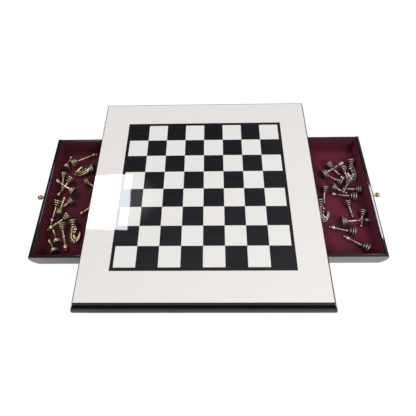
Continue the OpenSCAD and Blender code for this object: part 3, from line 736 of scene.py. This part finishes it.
def horse():
    """Neck and head as one lofted shell with a carved mane, curls, brow and mouth, nose towards +x."""
    rows = [np.array(rib) for rib in HORSE_RIBS]
    fine = []
    for k in range(len(rows) - 1):
        four = [rows[max(0, min(len(rows) - 1, k + j))] for j in (-1, 0, 1, 2)]
        fine += [(k + t / HORSE_FINE, between(*four, t / HORSE_FINE)) for t in range(HORSE_FINE)]
    fine.append((len(rows) - 1.0, rows[-1]))
    points, worn = [], []
    for s, row in fine:
        inner, outer, w = Vector(row[:2]), Vector(row[2:4]), row[4]
        middle, along = (inner + outer) / 2, (outer - inner) / 2
        for k in range(HORSE_N):
            a = 2 * math.pi * k / HORSE_N
            c, d = math.cos(a), math.sin(a)
            cut, rub = carved(s, c, d)
            x = math.copysign(abs(c) ** HORSE_SQUARE, c)
            y = math.copysign(abs(d) ** HORSE_SQUARE, d) * w
            p = middle + along * x * (1 - cut / max(1.0, along.length))
            points.append((p.x, -y * (1 - cut / max(2.2, w)), p.y))
            worn.append(rub)
    first, last = caps(len(fine), HORSE_N)
    return points, [first] + bands(len(fine), HORSE_N) + [last], worn


def knight(cast, place):
    """Foot with a flat top, and the horse on it with its eyes, nostrils and ears."""
    low = foot(PIECE_R)[:-3]
    cast.add(*lathe(low + [(0, foot(PIECE_R)[-3][1], 0.2, 0)]), place)
    scaled = place @ Matrix.Scale(KNIGHT_H / HORSE_TALL, 4)
    cast.add(*horse(), scaled)
    points, faces, worn = lathe(ball(0.4, 0, -90, 90, 5), turns=10)
    nostril = points, faces, [0.0] * len(worn)
    eye = lathe(ball(0.75, 0, -90, 90, 7), turns=14)
    cone = [(0, -0.8, 0.5, 0), (1.0, -0.5, 0.6, 0), (0.95, 0.9, 0.9, 0), (0.55, 2.1, 1, 0), (0, 3.1, 1, 0)]
    ear = lathe(cone, turns=14)
    forms = ((eye, EYE_AT, 0), (nostril, NOSTRIL_AT, 0), (ear, EAR_AT, EAR_LEAN))
    for flank in (-1, 1):
        for shell, at, lean in forms:
            spot = Matrix.Translation((at[0], flank * at[1], at[2]))
            cast.add(*shell, scaled @ spot @ turned(lean, "Y"))


def drop(r, head, reach):
    """Angle, in degrees, that a man dips by when its foot's rim and its head both rest."""
    return math.degrees(math.acos(head / math.hypot(r, reach)) - math.atan2(reach, r))


# What makes each kind, its foot's radius, the radius of its head where it rests and
# how far up that is, and how each man is rolled, in degrees
KINDS = {
    "king": (king, ROYAL_R, 0.85 * ROYAL_HEAD, KING_H - 1.4 * ROYAL_HEAD, (90,)),
    "queen": (queen, ROYAL_R, ROYAL_HEAD, QUEEN_H - ROYAL_HEAD, (0,)),
    "bishops": (bishop, PIECE_R, BISHOP_HEAD, BISHOP_H - 2 * BISHOP_HEAD, (0, 0)),
    "knights": (knight, PIECE_R, HORSE_T / 3, 0.86 * KNIGHT_H, (-90, 90)),
    "rooks": (rook, PIECE_R, ROOK_HEAD, ROOK_H, (30, 30)),
    "pawns": (pawn, PAWN_R, PAWN_HEAD, PAWN_H - PAWN_HEAD, (0,) * 8),
}

# Where the men lie: in from the front's lining and along y, in thousandths of the
# drawer's inner width, then the heading and the prop of the head, in degrees
MEN_AT = {
    "left": {
        "king": [(87.1, 333.9, 32.1, 0)],
        "queen": [(117.5, -228.2, -72.5, 0)],
        "bishops": [(41.4, -24.9, -97.1, 0), (158.5, -151.7, -141.9, 4.8)],
        "knights": [(285.3, 288.3, -163.8, 0), (197, -195.3, -80, 0)],
        "rooks": [(111.6, 192.3, -121.4, 0), (160.6, 54.5, 148, 14.8)],
        "pawns": [(39.7, 289.1, 83.6, 0), (36.3, 240.9, -90, 0), (343.2, -49, -144.1, 0),
                  (235.4, 164, -35.4, 0), (155.5, -9.7, -141.2, 0), (72.3, -131.9, 78.7, 17.6),
                  (112, -380, 119.2, 0), (112.8, -451.8, 128.2, 0)],
    },
    "right": {
        "king": [(222.7, -221.5, 3.5, 9.1)],
        "queen": [(298.4, 196.1, 29.2, 14.1)],
        "bishops": [(127.2, -305.2, 163.7, 0), (57.5, -433.6, 145.4, 0)],
        "knights": [(42.3, 337.7, -85.5, 0), (358.4, -33.8, -81.9, 0)],
        "rooks": [(235, 309.4, -50.9, 0), (63.8, -7.2, 166.9, 0)],
        "pawns": [(114.5, 273.5, -75.3, 0), (147.9, 125.1, 140.4, 0), (235, 95.1, -25.9, 0),
                  (94.3, 138.6, -121.5, 16.9), (11.4, 63, 171.4, 0), (292.1, 83.7, -99.9, 0),
                  (139.1, -41.8, -77.6, 0), (34.2, -124.3, -103.9, 0)],
    },
}


def laid(side, row, r, dip, roll):
    """Matrix, in millimetres, that lays a standing man down in its drawer."""
    low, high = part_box(side + "_floor_lining")
    front, inwards = (low[0], 1) if side == "left" else (high[0], -1)
    unit = HOLD_W / MM / 1000
    x = (front + inwards * LINING_T) / MM + inwards * unit * row[0]
    tilt = dip - row[3]
    z = LINED_Z + r * math.cos(math.radians(tilt)) + LIE_GAP
    turn = turned(row[2], "Z") @ turned(90 + tilt, "Y")
    return Matrix.Translation((x, unit * row[1], z)) @ turn @ turned(roll, "Z")


def lying(side, kind):
    """Matrices of all men of one kind in one drawer."""
    _, r, head, reach, rolls = KINDS[kind]
    return [laid(side, row, r, drop(r, head, reach), roll) for row, roll in zip(MEN_AT[side][kind], rolls)]


def set_men():
    """Every kind of man of each side is one piece in place of its node."""
    for side in SIDES:
        for kind, (make, *_) in KINDS.items():
            cast = Cast()
            for place in lying(side, kind):
                make(cast, place)
            node = side + "_" + kind
            obj = cast.make(node + "_cast")
            paint(obj, MATERIALS[SLOTS[node]])
            stand_in(obj, node, side + "_drawer")


set_men()


# ------- velvet, felt and pads

# Edges sharper than these angles, in degrees, stay sharp
SHARP_GROWN, SHARP_WALL = 50.0, 60.0

# Wall velvet: its corners, the glue gap behind it, the spacing of its points, how
# often and how far it waves, and how far it stays short of its lining's own size
WALL_CORNER, WALL_SLACK, WALL_STEP = 0.0022, 0.00004, 0.004
WALL_WAVES, WALL_WAVE, WALL_SHORT = 60, 0.00012, 0.0001

# Felt under the box: its corners, the spacing of its inner loops, and how often
# and how far it waves
FELT_CORNER, FELT_STEP, FELT_WAVES, FELT_WAVE = 0.006, 0.02, 900, 0.00004


class Nodes(Tree):
    """A geometry tree with named inputs that ends in Realize Instances and Set Material."""

    def __init__(self, name, sockets):
        group = bpy.data.node_groups.new(name, "GeometryNodeTree")
        for way in ("INPUT", "OUTPUT"):
            group.interface.new_socket("Geometry", in_out=way, socket_type="NodeSocketGeometry")
        open_inputs(group, sockets)
        super().__init__(group)
        self.given = self.put("NodeGroupInput").outputs

    def close(self, geometry):
        real = self.put("GeometryNodeRealizeInstances", {"Geometry": geometry}).outputs[0]
        done = self.put("GeometryNodeSetMaterial", {"Geometry": real, "Material": self.given["Finish"]})
        self.put("NodeGroupOutput", {0: done.outputs[0]})
        return self.tree


def grown(name, tree, mesh, **values):
    """Runs a geometry tree on a mesh with its inputs set, and returns the plain object."""
    seed = put_in(name + "_seed", mesh)
    modifier = seed.modifiers.new("grown", "NODES")
    modifier.node_group = tree
    known = {s.name: s.identifier for s in tree.interface.items_tree if s.in_out == "INPUT"}
    for key, value in values.items():
        modifier[known[key.replace("_", " ")]] = value
    bpy.context.view_layer.update()
    plain = bpy.data.meshes.new_from_object(seed.evaluated_get(bpy.context.evaluated_depsgraph_get()))
    plain.name = name
    bpy.data.objects.remove(seed)
    obj = put_in(name, plain, SHARP_GROWN)
    paint(obj, values["Finish"])
    return obj


def cloth_tree():
    """Laid sheet of cloth: a closed slab whose upper face waves and dips at its edges."""
    t = Nodes("laid_cloth", [("Length", NUM, 0.18), ("Width", NUM, 0.23), ("Thickness", NUM, 0.0012),
                             ("Wave", NUM, 0.0002), ("Wave Scale", NUM, 22.0), ("Edge", NUM, 0.002),
                             ("Centre", VEC, None), ("Seed", NUM, 3.0), ("Finish", FINISH, None)])
    given = t.given
    size = t.xyz(given["Length"], given["Width"], given["Thickness"])
    grid = {"Vertices X": 150, "Vertices Y": 180, "Vertices Z": 2}
    slab = t.put("GeometryNodeMeshCube", {"Size": size, **grid}).outputs["Mesh"]
    at = t.put("GeometryNodeInputPosition").outputs[0]
    x, y, z = t.split(at)
    inside = []
    for along, label in ((x, "Length"), (y, "Width")):
        rest = t.minus(t.times(given[label], 0.5), t.maths("ABSOLUTE", along))
        inside.append(t.maths("DIVIDE", rest, given["Edge"], True))
    flat = t.maths("MINIMUM", *inside)
    arc = t.minus(1.0, t.maths("POWER", t.minus(1.0, flat), 2.0))
    round_off = t.minus(t.maths("SQRT", arc), 1.0)
    wave = t.noise(t.vec("ADD", at, t.xyz(z=given["Seed"])), given["Wave Scale"], 2.0)
    wave = t.times(t.minus(wave, 0.75), given["Wave"])
    lift = t.plus(wave, t.times(round_off, t.times(given["Thickness"], 0.5)))
    offset = t.xyz(z=t.times(lift, t.maths("GREATER_THAN", z, 0.0)))
    bent = t.put("GeometryNodeSetPosition", {"Geometry": slab, "Offset": offset}).outputs[0]
    placed = t.put("GeometryNodeTransform", {"Geometry": bent, "Translation": given["Centre"]}).outputs[0]
    return t.close(placed)


def pad_tree():
    """Round felt pads with soft rims, one on each given point, as its "size" and "turn" say."""
    t = Nodes("felt_pads", [("Thickness", NUM, 0.0008), ("Rim", NUM, 1.6), ("Finish", FINISH, None)])
    drum = t.put("GeometryNodeMeshUVSphere", {"Segments": 36, "Rings": 14, "Radius": 1.0}).outputs["Mesh"]
    x, y, z = t.split(t.put("GeometryNodeInputPosition").outputs[0])
    half = t.times(t.given["Thickness"], 0.5)
    z = t.times(z, t.times(half, t.given["Rim"]))
    z = t.maths("MAXIMUM", t.maths("MINIMUM", z, half), t.times(half, -1.0))
    disc = t.put("GeometryNodeSetPosition", {"Geometry": drum, "Position": t.xyz(x, y, z)}).outputs[0]
    size = t.put("GeometryNodeInputNamedAttribute", {"Name": "size"}, data_type="FLOAT").outputs[0]
    turn = t.put("GeometryNodeInputNamedAttribute", {"Name": "turn"}, data_type="FLOAT_VECTOR").outputs[0]
    sockets = {"Points": t.given["Geometry"], "Instance": disc, "Rotation": turn,
               "Scale": t.xyz(size, size, 1.0)}
    return t.close(t.put("GeometryNodeInstanceOnPoints", sockets).outputs[0])


def set_pads():
    """The felt pads under the feet of one drawer's men are one piece."""
    tree = pad_tree()
    for side in SIDES:
        places, turns, sizes = [], [], []
        for kind, (_, r, *_) in KINDS.items():
            for place in lying(side, kind):
                places.append(MM * (place @ Vector((0, 0, -PAD_T / 2))))
                turns += place.to_euler()
                sizes.append(MM * (r - PAD_INSET))
        mesh = mesh_of(side + "_pad_points", places, [])
        mesh.attributes.new("size", "FLOAT", "POINT").data.foreach_set("value", sizes)
        mesh.attributes.new("turn", "FLOAT_VECTOR", "POINT").data.foreach_set("vector", turns)
        obj = grown(side + "_felt_pads", tree, mesh, Thickness=MM * PAD_T, Finish=MATERIALS["pad_felt"])
        stand_in(obj, side + "_pads", side + "_drawer")


def set_floor_linings():
    """A sheet of velvet on the floor of each drawer."""
    tree = cloth_tree()
    for side, seed in zip(SIDES, (3.0, 8.0)):
        low, high = (Vector(c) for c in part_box(side + "_floor_lining"))
        size = high - low
        obj = grown(side + "_floor_velvet", tree, bpy.data.meshes.new(side + "_floor_seed"),
                    Length=size.x, Width=size.y, Thickness=size.z, Centre=(low + high) / 2, Seed=seed,
                    Finish=MATERIALS[side + "_velvet"])
        stand_in(obj, side + "_floor_lining", side + "_drawer")


def corners(steps):
    """Arcs of a rounded rectangle: the signs of x and y of the corner, then a cosine and a sine."""
    for sx, sy, start in ((1, 1, 0), (-1, 1, 90), (-1, -1, 180), (1, -1, 270)):
        for k in range(steps + 1):
            a = math.radians(start + 90 * k / steps)
            yield sx, sy, math.cos(a), math.sin(a)


def wall_path(middle, half):
    """Closely spaced points round the four walls, each with its way outwards."""
    path = []
    for sx, sy, *out in corners(6):
        centre = Vector((middle.x + sx * (half.x - WALL_CORNER), middle.y + sy * (half.y - WALL_CORNER)))
        out = Vector(out)
        path.append((centre + out * WALL_CORNER, out))
    dense = []
    for (here, out), (there, out_after) in zip(path, path[1:] + path[:1]):
        count = max(1, int((there - here).length / WALL_STEP))
        for j in range(count):
            s = j / count
            dense.append((here.lerp(there, s), out.lerp(out_after, s).normalized()))
    return dense


def wall_section(bottom, top, t):
    """Upright cut through the wall velvet as (inwards, height): its back, its rolled edge and its face."""
    half, slack = t / 2, WALL_SLACK
    section = [(slack, bottom), (slack, top - half)]
    for a in (math.radians(a) for a in (30, 60, 90, 120, 150)):
        section.append((half + (slack - half) * math.cos(a), top - half + half * math.sin(a)))
    return section + [(t, top - half - (top - half - bottom) * k / 10) for k in range(11)]


def set_wall_linings():
    """A strip of velvet round the four walls of each drawer, with a rolled top and soft corners."""
    for side in SIDES:
        low, high = (Vector(c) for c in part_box(side + "_wall_lining"))
        bottom, top = low.z + WALL_SHORT, high.z
        path = wall_path((low + high) / 2, (high - low) / 2)
        section = wall_section(bottom, top, LINING_T)
        points = []
        for place, out in path:
            for inwards, z in section:
                if inwards > 0.9 * LINING_T:
                    spot = Vector((place.x * WALL_WAVES, place.y * WALL_WAVES, z * WALL_WAVES))
                    inwards += noise.noise(spot) * WALL_WAVE - WALL_SHORT
                p = place - out * inwards
                points.append((p.x, p.y, z))
        mesh = mesh_of(side + "_wall_velvet", points, bands(len(path), len(section), closed=True))
        obj = put_in(side + "_wall_velvet", mesh, SHARP_WALL)
        paint(obj, MATERIALS[side + "_velvet"])
        stand_in(obj, side + "_wall_lining", side + "_drawer")


def set_base_felt():
    """Felt under the box: rounded corners, a soft lower rim and a slightly wavy pile."""
    low, high = (Vector(c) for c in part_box("base_felt"))
    side, t = high.x, high.z - low.z
    straight, r = side - FELT_CORNER, FELT_CORNER
    outline = [(sx * straight + r * c, sy * straight + r * s) for sx, sy, c, s in corners(8)]
    loops = [(0.0, t), (0.0, t * 0.35), (t * 0.2, t * 0.1), (t * 0.5, 0.0)]
    for k in range(1, 9):
        inset = FELT_STEP * k
        loops.append((inset, FELT_WAVE * (1 + math.sin(FELT_WAVES * inset))))
    points = []
    for inset, z in loops:
        shrink = 1 - inset / side
        points += [(x * shrink, y * shrink, z) for x, y in outline]
    n, rows = len(outline), len(loops)
    mesh = mesh_of("felt_underside", points, bands(rows, n) + caps(rows, n))
    obj = put_in("felt_underside", mesh)
    paint(obj, MATERIALS["felt"])
    stand_in(obj, "base_felt", "box")


set_pads()
set_floor_linings()
set_wall_linings()
set_base_felt()


# ------- light and camera

# The window hangs behind the box on the left, and the strip behind it on the right
WINDOW_AT, WINDOW_SIZE = (-0.965, 1.033, 2.053), (0.47, 0.548)
STRIP_AT, STRIP_SIZE = (1.42, 0.93, 2.053), (0.16, 0.50)
FILL_AT, FILL_AIM, FILL_SIZE = (0.70, -0.90, 1.10), (0.0, 0.0, 0.05), (0.6, 0.6)

# Black cards that paint dark reflections, as (left, near, right, far), and how far they lie above the floor
CARDS, CARD_Z = ((-1.0, -0.95, 1.0, -0.275), (-0.95, -0.27, -0.325, 1.0)), 0.0005

# The sky's strength for matt surfaces and to the eye, its colour, and the way to its hazy spot
SKY_SOFT, SKY_SEEN, SKY_COLOUR = 0.495, 1.04, (0.98, 0.99, 1.0)
HAZE_WAY = (-0.249, 0.460, 0.852)

# The floor's half width, its colour, its darker colour near the front for gloss, which is a painted shadow,
# and its glow with the share of it that the eye sees
FLOOR_HALF, FLOOR_COLOUR, FLOOR_PAINTED_SHADOW = 6.0, (0.86, 0.86, 0.86), (0.50, 0.50, 0.51)
FLOOR_GLOW, FLOOR_SEEN = 1.09, 0.86

# The camera's place, its turn in degrees, and its lens and sensor in millimetres
CAMERA_AT, CAMERA_TURN = (0.01902, -0.28572, 0.5492), (26.4261, 1.2054, 0.1604)
LENS, SENSOR = 27.716, 36.0


def area_light(name, place, size, radiance, colour, aim=None, gloss=True, matt=True):
    """A softbox that shines straight down, or at its aim; gloss and matt say which surfaces it lights."""
    lamp = bpy.data.lights.new(name, "AREA")
    lamp.shape, lamp.size, lamp.size_y = "RECTANGLE", size[0], size[1]
    lamp.energy = radiance * math.pi * size[0] * size[1]
    lamp.color = colour
    obj = put_in(name, lamp)
    obj.location = place
    if aim:
        obj.rotation_euler = (Vector(aim) - Vector(place)).to_track_quat("-Z", "Y").to_euler()
    obj.visible_glossy, obj.visible_diffuse = gloss, matt


area_light("window", WINDOW_AT, WINDOW_SIZE, 20.0, (0.85, 0.90, 1.0), matt=False)
area_light("daylight", WINDOW_AT, WINDOW_SIZE, 25.0, (0.96, 0.98, 1.0), gloss=False)
area_light("right_strip", STRIP_AT, STRIP_SIZE, 18.0, (0.90, 0.95, 1.0))
area_light("fill", FILL_AT, FILL_SIZE, 9.0, (1.0, 0.99, 0.97), FILL_AIM, gloss=False)


def dark_reflection_cards():
    """Black cards flat on the floor, clear of the box in front and on the left, that only gloss shows:
    painted dark reflections in the box's gloss.
    """
    points = []
    for x0, y0, x1, y1 in CARDS:
        points += [(x0, y0, CARD_Z), (x1, y0, CARD_Z), (x1, y1, CARD_Z), (x0, y1, CARD_Z)]
    mesh = mesh_of("dark_reflection_cards", points, [(0, 1, 2, 3), (4, 5, 6, 7)])
    obj = put_in("dark_reflection_cards", mesh)
    material, t = blank_material("dark_reflection_black")
    black = t.put("ShaderNodeBsdfDiffuse", {"Color": (0.02, 0.02, 0.02)})
    t.put("ShaderNodeOutputMaterial", {"Surface": black.outputs[0]})
    paint(obj, material)
    obj.visible_camera = obj.visible_diffuse = obj.visible_shadow = False


dark_reflection_cards()


def sky():
    """Even soft light for matt surfaces, a shaped one for gloss, and white to the eye.

    Gloss sees it brighter overhead, low down in front and behind, on the right, high up in
    front, and in a small haze.
    """
    world = bpy.data.worlds.new("studio")
    SCENE.world = world
    world.use_nodes = True
    world.node_tree.nodes.clear()
    t = Tree(world.node_tree)
    path = t.put("ShaderNodeLightPath").outputs
    way = t.put("ShaderNodeTexCoord").outputs["Generated"]
    x, y, z = t.split(way)
    above = t.times(t.minus(z, 0.70), 1 / 0.30, True)
    above = t.times(t.maths("POWER", above, 2.0), 0.38)
    level = t.times(t.ramp(t.maths("ABSOLUTE", y), 0.55, 0.95), t.ramp(z, 0.45, 0.20))
    beside = t.times(t.ramp(x, 0.02, 0.75), 0.65)
    over = t.times(t.times(t.ramp(y, 0.22, -0.15), t.ramp(z, 0.55, 0.85)), 1.35)
    haze = t.times(t.ramp(t.vec("DOT_PRODUCT", way, HAZE_WAY), 0.9962, 0.9994), 0.95)
    shine = t.plus(t.plus(above, t.plus(beside, t.plus(haze, 0.04))), t.plus(over, t.times(level, 1.20)))
    strength = t.pick(path["Is Glossy Ray"], SKY_SOFT, shine)
    strength = t.pick(path["Is Camera Ray"], strength, SKY_SEEN)
    back = t.put("ShaderNodeBackground", {"Color": SKY_COLOUR, "Strength": strength})
    t.put("ShaderNodeOutputWorld", {"Surface": back.outputs[0]})


sky()


def floor():
    """Pale floor that shows white to the eye and to gloss, and keeps a soft shadow.

    Gloss sees it darker on the left and near the front: painted reflection, and near the front a painted
    shadow.
    """
    h = FLOOR_HALF
    mesh = mesh_of("floor", [(-h, -h, 0), (h, -h, 0), (h, h, 0), (-h, h, 0)], [(0, 1, 2, 3)])
    obj = put_in("floor", mesh)
    material, t = blank_material("pale_floor")
    path = t.put("ShaderNodeLightPath").outputs
    x, y, _ = t.split(t.put("ShaderNodeTexCoord").outputs["Object"])
    # Painted reflection: the glow that gloss sees is dimmed on the left and in front of the box
    level = t.times(t.ramp(x, -0.25, 0.25, 0.56, 1.18), t.ramp(y, -0.235, -0.12, 0.02, 1.0))
    painted_reflection = t.times(t.plus(path["Is Glossy Ray"], path["Is Transmission Ray"]), level)
    seen = t.plus(t.times(path["Is Camera Ray"], FLOOR_SEEN), painted_reflection, True)
    painted_shadow = t.times(path["Is Glossy Ray"], t.ramp(y, -0.19, -0.21))
    diffuse = t.put("ShaderNodeBsdfDiffuse", {"Color": t.tint(painted_shadow, FLOOR_COLOUR, FLOOR_PAINTED_SHADOW)})
    glow = t.put("ShaderNodeEmission", {"Color": (1, 1, 1), "Strength": FLOOR_GLOW})
    mix = t.put("ShaderNodeMixShader", {0: seen, 1: diffuse.outputs[0], 2: glow.outputs[0]})
    t.put("ShaderNodeOutputMaterial", {"Surface": mix.outputs[0]})
    paint(obj, material)


floor()


def camera():
    data = bpy.data.cameras.new("camera")
    data.sensor_width, data.lens = SENSOR, LENS
    data.clip_start = 0.01
    obj = put_in("camera", data)
    obj.location = CAMERA_AT
    obj.rotation_euler = [math.radians(a) for a in CAMERA_TURN]
    SCENE.camera = obj


camera()
